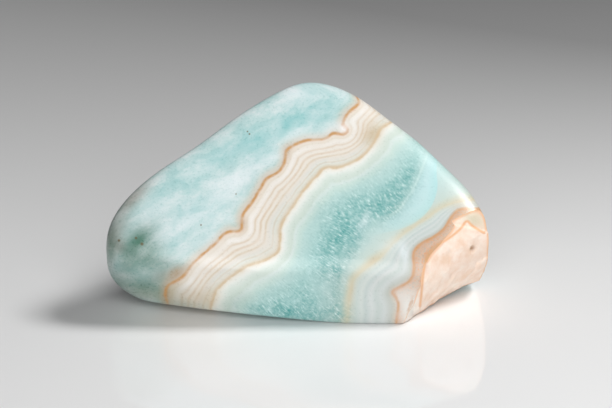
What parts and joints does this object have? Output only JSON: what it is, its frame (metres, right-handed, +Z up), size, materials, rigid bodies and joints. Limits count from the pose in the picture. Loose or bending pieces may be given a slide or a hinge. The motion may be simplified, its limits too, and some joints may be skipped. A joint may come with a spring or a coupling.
{
  "type": "polished blue aragonite stone",
  "caption": "Hand-size chunk of banded blue aragonite, polished all round but for one rough pink broken face, lying on its flat underside.",
  "frame": {"origin": "centre of the ground that the stone covers, on the plane that it rests on", "axes": "+X along the stone's length towards the broken end, +Y away from the leaning front face, +Z up"},
  "size_m": [0.0596, 0.0301, 0.0305],
  "materials": {
    "banded_aragonite": "polished to a satin gloss, one face left rough"
  },
  "bodies": {
    "root": {"aragonite_stone": "banded_aragonite"}
  },
  "joints": []
}
